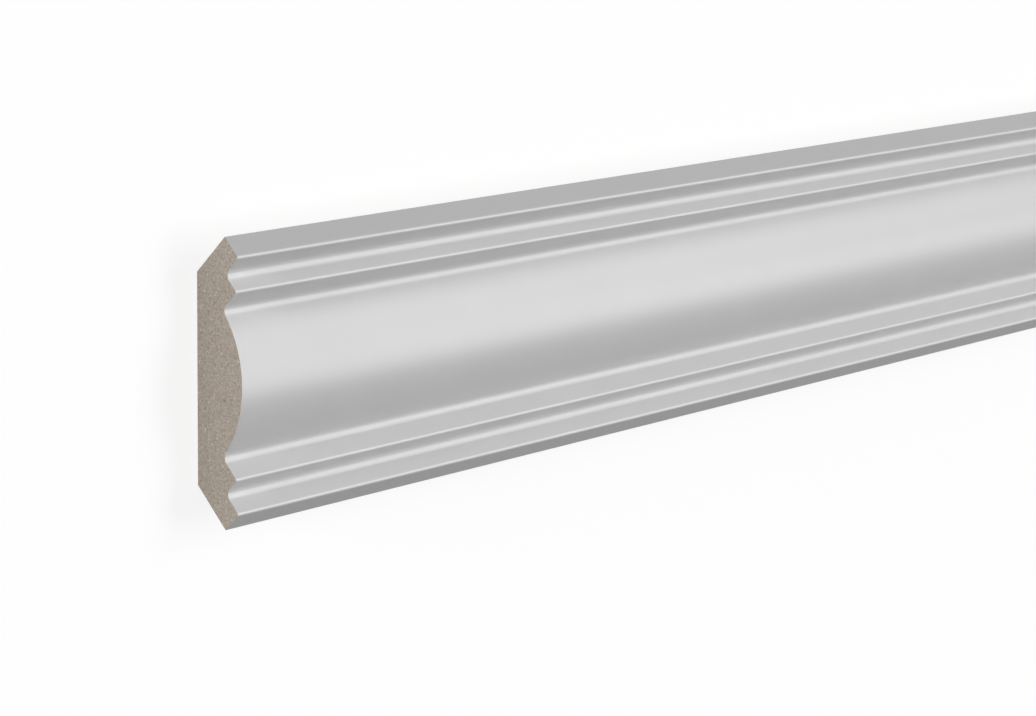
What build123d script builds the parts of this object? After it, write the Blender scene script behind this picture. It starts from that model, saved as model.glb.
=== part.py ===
from build123d import *
from math import radians, tan
import os

# Cornice moulding: one length of MDF board with a moulded face, a flat back and a
# bevelled seat along each long edge, for the wall and for the ceiling.
# X runs along the length, Y across the face, Z from the flat back (Z = 0) to the face.
# The section is the same on both sides of the middle plane Y = 0. Sizes in mm.

# Overall sizes
length = 2440.0
face_width = 83.5  # between the two outer tips
thickness = 18.0  # from the back to the crest of the middle bulge

# Slopes, in degrees from the back
seat_angle = 45.0  # the two faces that lie on the wall and on the ceiling
groove_angle = 45.0  # every straight slope of the moulded face

# Widths of the slopes on each side, from the tip inwards, between sharp corners
bevel_width = 5.3  # tip up to the outer ridge
outer_slope_width = 5.25  # outer ridge down to the outer cove
middle_slope_width = 4.5  # outer cove up to the inner ridge
inner_slope_width = 5.6  # inner ridge down to the inner cove

# How far the sharp outer ridge lies below the crest of the bulge
ridge_depth = 1.45

# Roundings left by the cutter
ridge_radius = 0.75
cove_radius = 2.4

# Sharp corners of the right half, as distance from the middle plane and height
slope = tan(radians(groove_angle))
half_face = face_width / 2
outer_ridge = Vector(half_face - bevel_width, thickness - ridge_depth)
tip = outer_ridge + Vector(bevel_width, -bevel_width * slope)
outer_cove = outer_ridge - Vector(outer_slope_width, outer_slope_width * slope)
inner_ridge = outer_cove + Vector(-middle_slope_width, middle_slope_width * slope)
inner_cove = inner_ridge - Vector(inner_slope_width, inner_slope_width * slope)
crest = Vector(0, thickness)
back_edge = Vector(tip.X - tip.Y / tan(radians(seat_angle)), 0)
back_middle = Vector(0, 0)

with BuildPart() as moulding:
    with BuildSketch(Plane.YZ) as section:
        with BuildLine() as right_half:
            FilletPolyline(
                back_middle,
                back_edge,
                tip,
                outer_ridge,
                outer_cove,
                inner_ridge,
                inner_cove,
                radius=[0, 0, ridge_radius, cove_radius, ridge_radius],
            )
            TangentArc(crest, inner_cove, tangent=(1, 0))  # half of the bulge
            Line(crest, back_middle)
        make_face()
        fillet(section.vertices().sort_by_distance(inner_cove)[0], cove_radius)
        mirror(about=Plane.YZ)
    extrude(amount=length / 2, both=True)

moulding.part.label = "cornice_moulding"

os.makedirs("parts", exist_ok=True)
export_step(moulding.part, "parts/cornice_moulding.step")
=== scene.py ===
from math import atan2, ceil, cos, pi, radians, sin, sqrt, tan

import bpy
from mathutils import Matrix, Vector


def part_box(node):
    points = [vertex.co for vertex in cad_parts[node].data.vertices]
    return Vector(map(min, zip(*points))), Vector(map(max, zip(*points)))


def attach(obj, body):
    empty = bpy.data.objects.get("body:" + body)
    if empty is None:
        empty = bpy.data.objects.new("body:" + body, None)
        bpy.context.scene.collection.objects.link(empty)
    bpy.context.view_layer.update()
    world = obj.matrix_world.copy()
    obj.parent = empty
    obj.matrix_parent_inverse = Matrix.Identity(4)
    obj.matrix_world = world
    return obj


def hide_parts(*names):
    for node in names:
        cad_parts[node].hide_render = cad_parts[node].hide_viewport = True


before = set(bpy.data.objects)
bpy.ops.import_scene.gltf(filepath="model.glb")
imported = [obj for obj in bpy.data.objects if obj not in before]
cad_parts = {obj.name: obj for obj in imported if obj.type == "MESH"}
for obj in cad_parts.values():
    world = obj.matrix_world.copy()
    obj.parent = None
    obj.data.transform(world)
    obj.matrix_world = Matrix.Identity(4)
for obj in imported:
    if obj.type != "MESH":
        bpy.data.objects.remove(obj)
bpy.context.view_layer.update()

NODE = "cornice_moulding"
low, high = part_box(NODE)

# Section, in metres: the overall sizes come from the frame
face_width = high.y - low.y
thickness = high.z - low.z
seat_angle = radians(45)
groove_angle = radians(45)
bevel_width = 0.0053
outer_slope_width = 0.00525
middle_slope_width = 0.0045
inner_slope_width = 0.0056
ridge_depth = 0.00145
ridge_radius = 0.00075
cove_radius = 0.0024

# Fineness of the mesh
longest_step = 0.0007
largest_turn = radians(5)
crease_angle = radians(30)  # edges that turn more than this are shaded sharp
bays = 40  # cross rings along the length
cell_height = 0.0007  # of the cut ends

# Material slots of the mesh
PRIMED, SEAT, BACK, SAWN = range(4)

# Layout of the map for baked pictures, in picture widths and picture widths per metre
map_gap = 0.006
map_rows = 4  # that the back and the seats are cut into
end_scale = 5.8
face_scale = 4.8
row_scale = 1.2  # across the rows

# Colours, as the share of red, green and blue light that the surface gives back
PRIMER = (0.72, 0.72, 0.72)
# A painted highlight: a lighter primer colour along the ridges
PAINTED_RIDGE_HIGHLIGHT = (0.82, 0.82, 0.82)  # along the ridges
# Painted shade: a darker primer colour on the outer bevels
PAINTED_BEVEL_SHADE = (0.575, 0.575, 0.575)  # on the outer bevels
BLACK = (0, 0, 0)
OLIVE_FIBRE = ((0.343, 0.303, 0.249), (0.495, 0.443, 0.373))  # from dark to pale
RED_FIBRE = ((0.358, 0.299, 0.255), (0.51, 0.437, 0.383))
CLOUDED_FIBRE = (0.31, 0.265, 0.22)
PALE_SPECK = (0.63, 0.585, 0.52)
DARK_SPECK = (0.22, 0.18, 0.15)
SANDED_BOARD = ((0.41, 0.345, 0.275), (0.53, 0.46, 0.375))

# Grains across, in metres
FINE_GRAIN = 0.0006
SPECK = 0.0007

# Spans of a noise that are stretched from none to all
MOST = (0.3, 0.7)
MIDDLE = (0.35, 0.65)
PEAKS = (0.68, 0.8)  # only a few grains reach them


def straight(start, end):
    """Points from start up to but not including end, at even steps."""
    steps = ceil((end - start).length / longest_step)
    return [start.lerp(end, k / steps) for k in range(steps)]


def arc(centre, radius, start, end):
    """Points on an arc from the angle start up to but not including end."""
    steps = ceil(max(abs(end - start) / largest_turn, abs(end - start) * radius / longest_step))
    angles = [start + (end - start) * k / steps for k in range(steps)]
    return [centre + radius * Vector((cos(a), sin(a))) for a in angles]


def ridge(corner):
    """Rounds a corner that points outwards: its points and the point where they end."""
    centre = corner - Vector((0, ridge_radius / cos(groove_angle)))
    points = arc(centre, ridge_radius, pi / 2 + groove_angle, pi / 2 - groove_angle)
    end = centre + ridge_radius * Vector((sin(groove_angle), cos(groove_angle)))
    return points, end


def cove(corner):
    """Rounds a corner that points inwards: its points and the point where they end."""
    centre = corner + Vector((0, cove_radius / cos(groove_angle)))
    points = arc(centre, cove_radius, -pi / 2 - groove_angle, -pi / 2 + groove_angle)
    end = centre + cove_radius * Vector((sin(groove_angle), -cos(groove_angle)))
    return points, end


def tip_height():
    """How high the outer tips stand above the back."""
    return thickness - ridge_depth - bevel_width * tan(groove_angle)


def half_face():
    """The moulded face from its crest out to the tip, as points (y, z)."""
    slope = tan(groove_angle)
    outer_ridge = Vector((face_width / 2 - bevel_width, thickness - ridge_depth))
    tip = Vector((face_width / 2, tip_height()))
    outer_cove = outer_ridge - outer_slope_width * Vector((1, slope))
    inner_ridge = outer_cove + middle_slope_width * Vector((-1, slope))
    inner_cove = inner_ridge - inner_slope_width * Vector((1, slope))

    # The bulge: one arc through the crest and the sharp corner of the inner cove
    rise = thickness - inner_cove.y
    bulge_radius = (inner_cove.x**2 + rise**2) / (2 * rise)
    bulge_centre = Vector((0, thickness - bulge_radius))

    # The inner cove's circle touches the bulge from outside and the slope beside it
    above = inner_cove.y - slope * inner_cove.x + cove_radius / cos(groove_angle) - bulge_centre.y
    a, b = 1 + slope**2, slope * above
    reach = bulge_radius + cove_radius
    x = (-b + sqrt(b**2 - a * (above**2 - reach**2))) / a
    cove_centre = Vector((x, bulge_centre.y + slope * x + above))
    towards_bulge = bulge_centre - cove_centre
    cove_start = atan2(towards_bulge.y, towards_bulge.x)

    points = arc(bulge_centre, bulge_radius, pi / 2, cove_start + pi)
    points += arc(cove_centre, cove_radius, cove_start, -pi / 2 + groove_angle)
    at = cove_centre + cove_radius * Vector((sin(groove_angle), -cos(groove_angle)))
    for rounded, end in (ridge(inner_ridge), cove(outer_cove), ridge(outer_ridge)):
        points += straight(at, rounded[0]) + rounded
        at = end
    return points + straight(at, tip) + [tip]


def section():
    """Columns (y, back height, face height) across the whole section, from tip to tip."""
    face = half_face()
    tip = face[-1]
    back_edge = tip.x - tip.y / tan(seat_angle)
    beyond = next(k for k, p in enumerate(face) if p.x > back_edge)
    near, far = face[beyond - 1], face[beyond]
    face.insert(beyond, near.lerp(far, (back_edge - near.x) / (far.x - near.x)))
    half = [(p.x, max(0.0, (p.x - back_edge) * tan(seat_angle)), p.y) for p in face]
    return [(-y, back, front) for y, back, front in reversed(half[1:])] + half


def add_ring(vertices, columns, x):
    """Adds a cross ring: the numbers of its points along the face and along the back, tips in both."""
    first = len(vertices)
    last = len(columns) - 1
    vertices.extend((x, y, front) for y, back, front in columns)
    vertices.extend((x, y, back) for y, back, front in columns[1:last])
    face_ids = list(range(first, first + last + 1))
    back_ids = [face_ids[0], *range(first + last + 1, first + 2 * last), face_ids[last]]
    return face_ids, back_ids


def add_stacks(vertices, columns, ring, x):
    """Adds the inner points of a cut end: each column's points from the back up to the face."""
    face_ids, back_ids = ring
    rows = ceil(thickness / cell_height)
    stacks = []
    for k, (y, back, front) in enumerate(columns):
        if k in (0, len(columns) - 1):
            stacks.append([face_ids[k]] * (rows + 1))  # a tip is one point all the way up
            continue
        inner = range(len(vertices), len(vertices) + rows - 1)
        vertices.extend((x, y, back + (front - back) * j / rows) for j in range(1, rows))
        stacks.append([back_ids[k], *inner, face_ids[k]])
    return stacks


def moulding_mesh():
    """The whole moulding as one closed mesh, nearly all quads, with the cut ends as fine grids."""
    columns = section()
    vertices, faces, slots = [], [], []

    rings = [add_ring(vertices, columns, low.x + (high.x - low.x) * k / bays) for k in range(bays + 1)]
    for (face_a, back_a), (face_b, back_b) in zip(rings, rings[1:]):
        for k in range(len(columns) - 1):
            faces.append((face_a[k], face_b[k], face_b[k + 1], face_a[k + 1]))
            slots.append(PRIMED)
            faces.append((back_a[k], back_a[k + 1], back_b[k + 1], back_b[k]))
            slots.append(SEAT if max(columns[k][1], columns[k + 1][1]) > 0 else BACK)

    for ring, x, outward in ((rings[0], low.x, 1), (rings[-1], high.x, -1)):
        stacks = add_stacks(vertices, columns, ring, x)
        for left, right in zip(stacks, stacks[1:]):
            for cell in zip(left, left[1:], right[1:], right):
                corners = list(dict.fromkeys(cell))  # at a tip some are the same point
                if len(corners) > 2:
                    faces.append(tuple(corners[::outward]))
                    slots.append(SAWN)

    mesh = bpy.data.meshes.new("moulded_length")
    mesh.from_pydata(vertices, [], faces)
    mesh.polygons.foreach_set("material_index", slots)
    mesh.polygons.foreach_set("use_smooth", [True] * len(faces))
    mesh.set_sharp_from_angle(angle=crease_angle)
    mesh.update()
    lay_out(mesh)
    return mesh


def lay_out(mesh):
    """Maps the mesh for baked pictures, with nothing mirrored.

    The cut ends lie side by side and largest, then the face in one strip, then the back and the
    seats in rows.
    """
    tip = tip_height()
    back_half = face_width / 2 - tip / tan(seat_angle)
    length = high.x - low.x
    face_foot = thickness * end_scale + 2 * map_gap
    back_foot = face_foot + face_width * face_scale + map_gap
    back_step = 2 * back_half * row_scale + map_gap
    seat_foot = back_foot + map_rows * back_step
    seat_step = tip * row_scale + map_gap

    layer = mesh.uv_layers.new(name="OFBake")
    for polygon in mesh.polygons:
        slot, centre = polygon.material_index, polygon.center
        row = int((centre.x - low.x) / length * map_rows)
        for corner in polygon.loop_indices:
            x, y, z = mesh.vertices[mesh.loops[corner].vertex_index].co
            along = (x - low.x) / length
            if slot in (SEAT, BACK):
                along = along * map_rows - row
            u = map_gap + along * (1 - 2 * map_gap)
            if slot == PRIMED:
                v = face_foot + (y - low.y) * face_scale
            elif slot == BACK:
                v = back_foot + row * back_step + (back_half - y) * row_scale
            elif slot == SEAT:
                v = seat_foot + (2 * row + (centre.y > 0)) * seat_step
                v += (tip - z if centre.y > 0 else z) * row_scale
            else:
                u = map_gap + (y - low.y if centre.x > 0 else high.y - y) * end_scale
                u += (face_width * end_scale + map_gap) * (centre.x > 0)
                v = map_gap + z * end_scale
            layer.uv[corner].vector = (u, v)


def new_material(name):
    """A new material, and the maker of its nodes."""
    material = bpy.data.materials.new(name)
    material.use_nodes = True
    return Maker(material.node_tree), material


class Maker:
    """Adds nodes to a tree, with their inputs given as values or as sockets to link."""

    def __init__(self, tree):
        self.nodes, self.links = tree.nodes, tree.links
        self.shader = tree.nodes["Principled BSDF"]
        self.place = self.add("ShaderNodeTexCoord").outputs["Object"]

    def put(self, socket, value):
        """Links the socket to value, or sets it where value is a number or a colour."""
        if isinstance(value, bpy.types.NodeSocket):
            self.links.new(value, socket)
        else:
            socket.default_value = value

    def shade(self, name, value):
        """Gives the shader one of its inputs."""
        self.put(self.shader.inputs[name], value)

    def add(self, kind, inputs=(), **settings):
        """A new node of a kind, with its inputs and settings by name."""
        node = self.nodes.new(kind)
        for name, value in settings.items():
            setattr(node, name, value)
        for name, value in dict(inputs).items():
            self.put(node.inputs[name], value)
        return node

    def axis(self, name):
        """The place along X, Y or Z, in metres."""
        return self.add("ShaderNodeSeparateXYZ", {"Vector": self.place}).outputs[name]

    def noise(self, size, detail=2.0, stretch=(1, 1, 1), seed=0.0):
        """Noise from 0 to 1 whose grains are about size metres across."""
        moved = self.add("ShaderNodeMapping", {"Vector": self.place, "Location": (seed, seed, seed),
                                               "Scale": stretch}).outputs["Vector"]
        return self.add("ShaderNodeTexNoise", {"Vector": moved, "Scale": 1 / size,
                                               "Detail": detail}).outputs["Fac"]

    def spread(self, value, start, end, low=0.0, high=1.0):
        """value from start to end, stretched over low to high and held there."""
        return self.add("ShaderNodeMapRange", {"Value": value, "From Min": start, "From Max": end,
                                               "To Min": low, "To Max": high}).outputs["Result"]

    def math(self, operation, a, b=0.0):
        """a and b joined by one operation, or the operation on a alone."""
        node = self.add("ShaderNodeMath", operation=operation)
        self.put(node.inputs[0], a)
        self.put(node.inputs[1], b)
        return node.outputs["Value"]

    def mix(self, share, a, b):
        """Colour a, or b where share is 1."""
        node = self.add("ShaderNodeMix", data_type="RGBA")
        first, second, mixed = node.inputs[6], node.inputs[7], node.outputs[2]  # the ones for colours
        self.put(node.inputs["Factor"], share)
        self.put(first, (*a, 1) if isinstance(a, tuple) else a)
        self.put(second, (*b, 1) if isinstance(b, tuple) else b)
        return mixed

    def bump(self, height, depth):
        """Bumps as deep as depth, in metres, where height goes from 0 to 1."""
        node = self.add("ShaderNodeBump", {"Height": height, "Distance": depth})
        self.shade("Normal", node.outputs["Normal"])


def primer():
    """Satin white primer, matt on the outer bevels, with painted shade on them and a painted highlight
    along the ridges.
    """
    satin, matt = 0.35, 0.6
    unevenness = 0.02  # of the colour and of the roughness

    make, material = new_material("satin_white_primer")
    cloud = make.noise(0.02)
    grain = make.noise(FINE_GRAIN, detail=3.0)
    across = make.math("ABSOLUTE", make.axis("Y"))
    outer_ridge = face_width / 2 - bevel_width
    inner_ridge = outer_ridge - outer_slope_width - middle_slope_width
    from_outer = make.math("ABSOLUTE", make.math("SUBTRACT", across, outer_ridge))
    from_inner = make.math("ABSOLUTE", make.math("SUBTRACT", across, inner_ridge))
    from_ridge = make.math("MINIMUM", from_outer, from_inner)
    # Mask of the painted highlight along the ridges
    painted_highlight = make.spread(from_ridge, ridge_radius / 3, ridge_radius * 0.8, 1.0, 0.0)
    # Outer bevels: the mask of the painted shade in the colour, and of the matt roughness
    bevel = make.spread(across, outer_ridge, outer_ridge + ridge_radius)

    # The colour: primer with painted shade on the outer bevels and a painted highlight along the
    # ridges
    coat = make.mix(painted_highlight, make.mix(bevel, PRIMER, PAINTED_BEVEL_SHADE), PAINTED_RIDGE_HIGHLIGHT)
    dulled = make.mix(unevenness, coat, BLACK)
    make.shade("Base Color", make.mix(make.spread(cloud, *MOST), dulled, coat))
    roughness = make.spread(bevel, 0, 1, satin, matt)
    speckle = make.spread(grain, *MOST, -unevenness, unevenness)
    make.shade("Roughness", make.math("ADD", roughness, speckle))
    make.bump(grain, depth=0.000002)
    return material


def fibre_colour(make, stretch):
    """Fibreboard: fine grains of pale and dark fibre in a grey brown, with a few specks."""
    most_cloud = 0.08
    most_speck = 0.7

    grain = make.noise(FINE_GRAIN, 2.0, stretch)
    tint = make.noise(0.0011, 1.0, stretch, seed=3.1)
    cloud = make.noise(0.006, 2.0, stretch, seed=5.7)
    pale = make.spread(make.noise(SPECK, 0.0, stretch, seed=8.3), *PEAKS)
    dark = make.spread(make.noise(SPECK, 0.0, stretch, seed=11.9), *PEAKS)

    olive = make.mix(make.spread(grain, *MOST), *OLIVE_FIBRE)
    red = make.mix(make.spread(grain, *MOST), *RED_FIBRE)
    colour = make.mix(make.spread(tint, *MIDDLE), olive, red)
    colour = make.mix(make.spread(cloud, *MOST, 0.0, most_cloud), colour, CLOUDED_FIBRE)
    colour = make.mix(make.math("MULTIPLY", pale, most_speck), colour, PALE_SPECK)
    colour = make.mix(make.math("MULTIPLY", dark, most_speck), colour, DARK_SPECK)
    return colour, grain


def sawn_fibreboard():
    """The sawn ends: short fibre ends, matt."""
    make, material = new_material("sawn_fibreboard")
    colour, grain = fibre_colour(make, (1, 1, 1))
    make.shade("Base Color", colour)
    make.shade("Roughness", 0.9)
    make.bump(grain, depth=0.00006)
    return material


def seat_fibreboard():
    """The planed seats: fibres drawn out along the length, with primer blown over the tips."""
    blown_start, blown_end = 0.0022, 0.0002  # below the tips
    raggedness = 0.0008

    make, material = new_material("planed_fibreboard")
    colour, grain = fibre_colour(make, (0.35, 1, 1))
    ragged = make.math("ADD", make.axis("Z"),
                       make.spread(make.noise(0.003), 0.2, 0.8, -raggedness, raggedness))
    blown = make.spread(ragged, tip_height() - blown_start, tip_height() - blown_end)
    make.shade("Base Color", make.mix(blown, colour, PRIMER))
    make.shade("Roughness", 0.85)
    make.bump(grain, depth=0.00003)
    return material


def board_back():
    """The board's own sanded face, smoother and with long fine fibres."""
    make, material = new_material("sanded_board_back")
    fibres = make.noise(0.0012, 3.0, (0.12, 1, 1), seed=2.2)
    cross = make.noise(0.0012, 3.0, (1, 0.2, 1), seed=7.4)
    both = make.math("MULTIPLY", make.math("ADD", fibres, cross), 0.5)
    make.shade("Base Color", make.mix(make.spread(both, *MIDDLE), *SANDED_BOARD))
    make.shade("Roughness", 0.8)
    make.bump(both, depth=0.00001)
    return material


def add_camera():
    """Stands near the cut end and looks along the moulded face, with +Y up in the picture."""
    place = Vector((-1.81458, 0.18338, 0.63135))
    aim = Vector((-1.09293, -0.01092, 0.009))
    roll = radians(0.9236)
    forward = (aim - place).normalized()
    right = forward.cross(Vector((0, 1, 0))).normalized()
    up = right.cross(forward)
    data = bpy.data.cameras.new("camera")
    data.sensor_width = 36
    data.lens = 109.232
    data.clip_start = 0.01
    data.clip_end = 500
    camera = bpy.data.objects.new("camera", data)
    bpy.context.scene.collection.objects.link(camera)
    turned = Matrix((right, up, -forward)).transposed().to_4x4()
    camera.matrix_world = Matrix.Translation(place) @ turned @ Matrix.Rotation(roll, 4, "Z")
    bpy.context.scene.camera = camera


def add_sun(name, towards, strength, angle, gloss=True):
    """A soft lamp far away, in the direction towards it, with or without gloss of its own."""
    data = bpy.data.lights.new(name, "SUN")
    data.energy = strength
    data.angle = radians(angle)
    lamp = bpy.data.objects.new(name, data)
    lamp.visible_glossy = gloss
    lamp.rotation_mode = "QUATERNION"
    lamp.rotation_quaternion = Vector(towards).to_track_quat("Z", "Y")
    bpy.context.scene.collection.objects.link(lamp)


def seen_directly(tree):
    """1 for camera, glossy and transmission rays, and 0 for the others."""
    path = tree.nodes.new("ShaderNodeLightPath")
    total = path.outputs["Is Camera Ray"]
    for name in ("Is Glossy Ray", "Is Transmission Ray"):
        either = tree.nodes.new("ShaderNodeMath")
        either.operation = "MAXIMUM"
        tree.links.new(total, either.inputs[0])
        tree.links.new(path.outputs[name], either.inputs[1])
        total = either.outputs["Value"]
    return total


def pale_floor():
    """White where it is seen, with a part of its shadow, and pale grey in the light it gives back."""
    seen_white = 1.08
    shadow_share = 0.2
    bounce_white = 0.7

    material = bpy.data.materials.new("pale_floor")
    material.use_nodes = True
    tree = material.node_tree
    tree.nodes.clear()
    lit = tree.nodes.new("ShaderNodeBsdfDiffuse")
    lit.inputs["Color"].default_value = (1, 1, 1, 1)
    bounce = tree.nodes.new("ShaderNodeBsdfDiffuse")
    bounce.inputs["Color"].default_value = (bounce_white, bounce_white, bounce_white, 1)
    white = tree.nodes.new("ShaderNodeEmission")
    white.inputs["Strength"].default_value = seen_white
    shown = tree.nodes.new("ShaderNodeMixShader")
    shown.inputs[0].default_value = shadow_share
    tree.links.new(white.outputs[0], shown.inputs[1])
    tree.links.new(lit.outputs[0], shown.inputs[2])
    by_ray = tree.nodes.new("ShaderNodeMixShader")
    tree.links.new(seen_directly(tree), by_ray.inputs[0])
    tree.links.new(bounce.outputs[0], by_ray.inputs[1])
    tree.links.new(shown.outputs[0], by_ray.inputs[2])
    out = tree.nodes.new("ShaderNodeOutputMaterial")
    tree.links.new(by_ray.outputs[0], out.inputs["Surface"])
    return material


def add_floor():
    """A wide floor under the back, up to the horizon."""
    half = 200.0
    corners = [(-half, -half, 0), (half, -half, 0), (half, half, 0), (-half, half, 0)]
    mesh = bpy.data.meshes.new("floor")
    mesh.from_pydata(corners, [], [(0, 1, 2, 3)])
    mesh.materials.append(pale_floor())
    floor = bpy.data.objects.new("floor", mesh)
    floor.location.z = low.z
    bpy.context.scene.collection.objects.link(floor)


def add_world():
    """White where it is seen, and a dim even light elsewhere."""
    seen_white = 0.989
    ambient = 0.05

    world = bpy.data.worlds.new("studio")
    bpy.context.scene.world = world
    world.use_nodes = True
    tree = world.node_tree
    background = tree.nodes["Background"]
    background.inputs["Color"].default_value = (1, 1, 1, 1)
    strength = tree.nodes.new("ShaderNodeMapRange")
    tree.links.new(seen_directly(tree), strength.inputs["Value"])
    strength.inputs["To Min"].default_value = ambient
    strength.inputs["To Max"].default_value = seen_white
    tree.links.new(strength.outputs["Result"], background.inputs["Strength"])


moulding = bpy.data.objects.new("moulding", moulding_mesh())
for material in (primer(), seat_fibreboard(), board_back(), sawn_fibreboard()):
    moulding.data.materials.append(material)
bpy.context.scene.collection.objects.link(moulding)
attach(moulding, "root")
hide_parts(NODE)

add_floor()
add_camera()
add_sun("key", towards=(0.967, 0.529, 1.0), strength=1.158, angle=31)
add_sun("lower", towards=(0.955, -0.149, 1.0), strength=1.126, angle=28)
# The lamp for the cut end stands low, and its gloss would whiten the face when seen from the far end
add_sun("end", towards=(-1.0, 0.286, 0.109), strength=2.24, angle=16, gloss=False)
add_world()

bpy.context.scene.view_settings.view_transform = "Standard"
